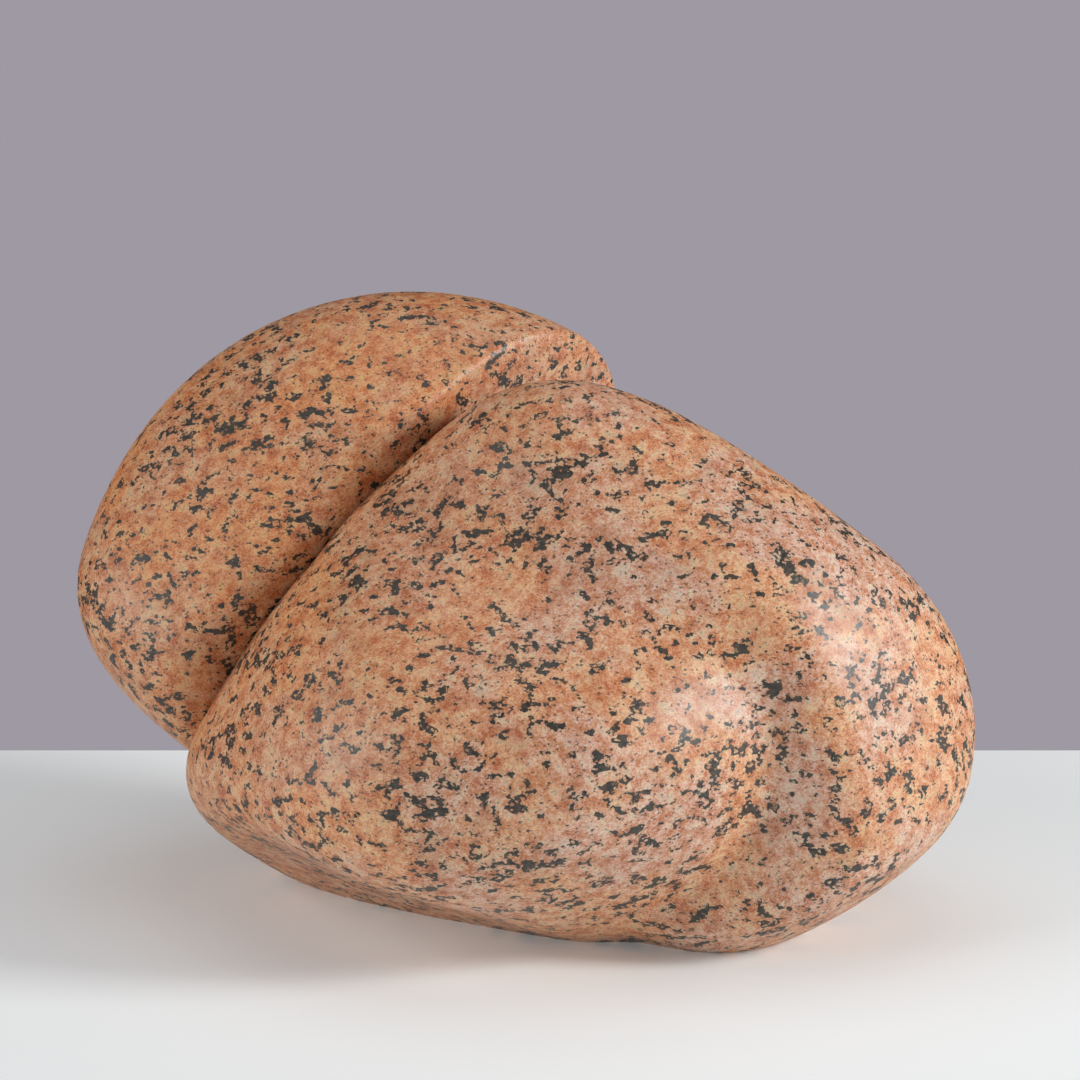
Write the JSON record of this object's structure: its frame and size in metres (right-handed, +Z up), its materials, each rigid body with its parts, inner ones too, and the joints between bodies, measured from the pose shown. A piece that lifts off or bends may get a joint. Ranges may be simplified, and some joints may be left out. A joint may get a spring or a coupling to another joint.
{
  "type": "abstract sculpture",
  "caption": "Honed granite carving: a rounded hood folded over a swelling body with a low front lobe, resting on a flat underside.",
  "frame": {"origin": "centre of the bounding box at its lowest level, which is the plane of the flat underside", "axes": "+X along the stone's length, from the hood to the body's far end; -Y towards the viewer of the front; +Z up"},
  "size_m": [0.3652, 0.266, 0.238],
  "materials": {
    "red_granite": "honed reddish-pink granite with clustered green-black mica, satin"
  },
  "bodies": {
    "root": {"granite_form": "red_granite"}
  },
  "joints": []
}
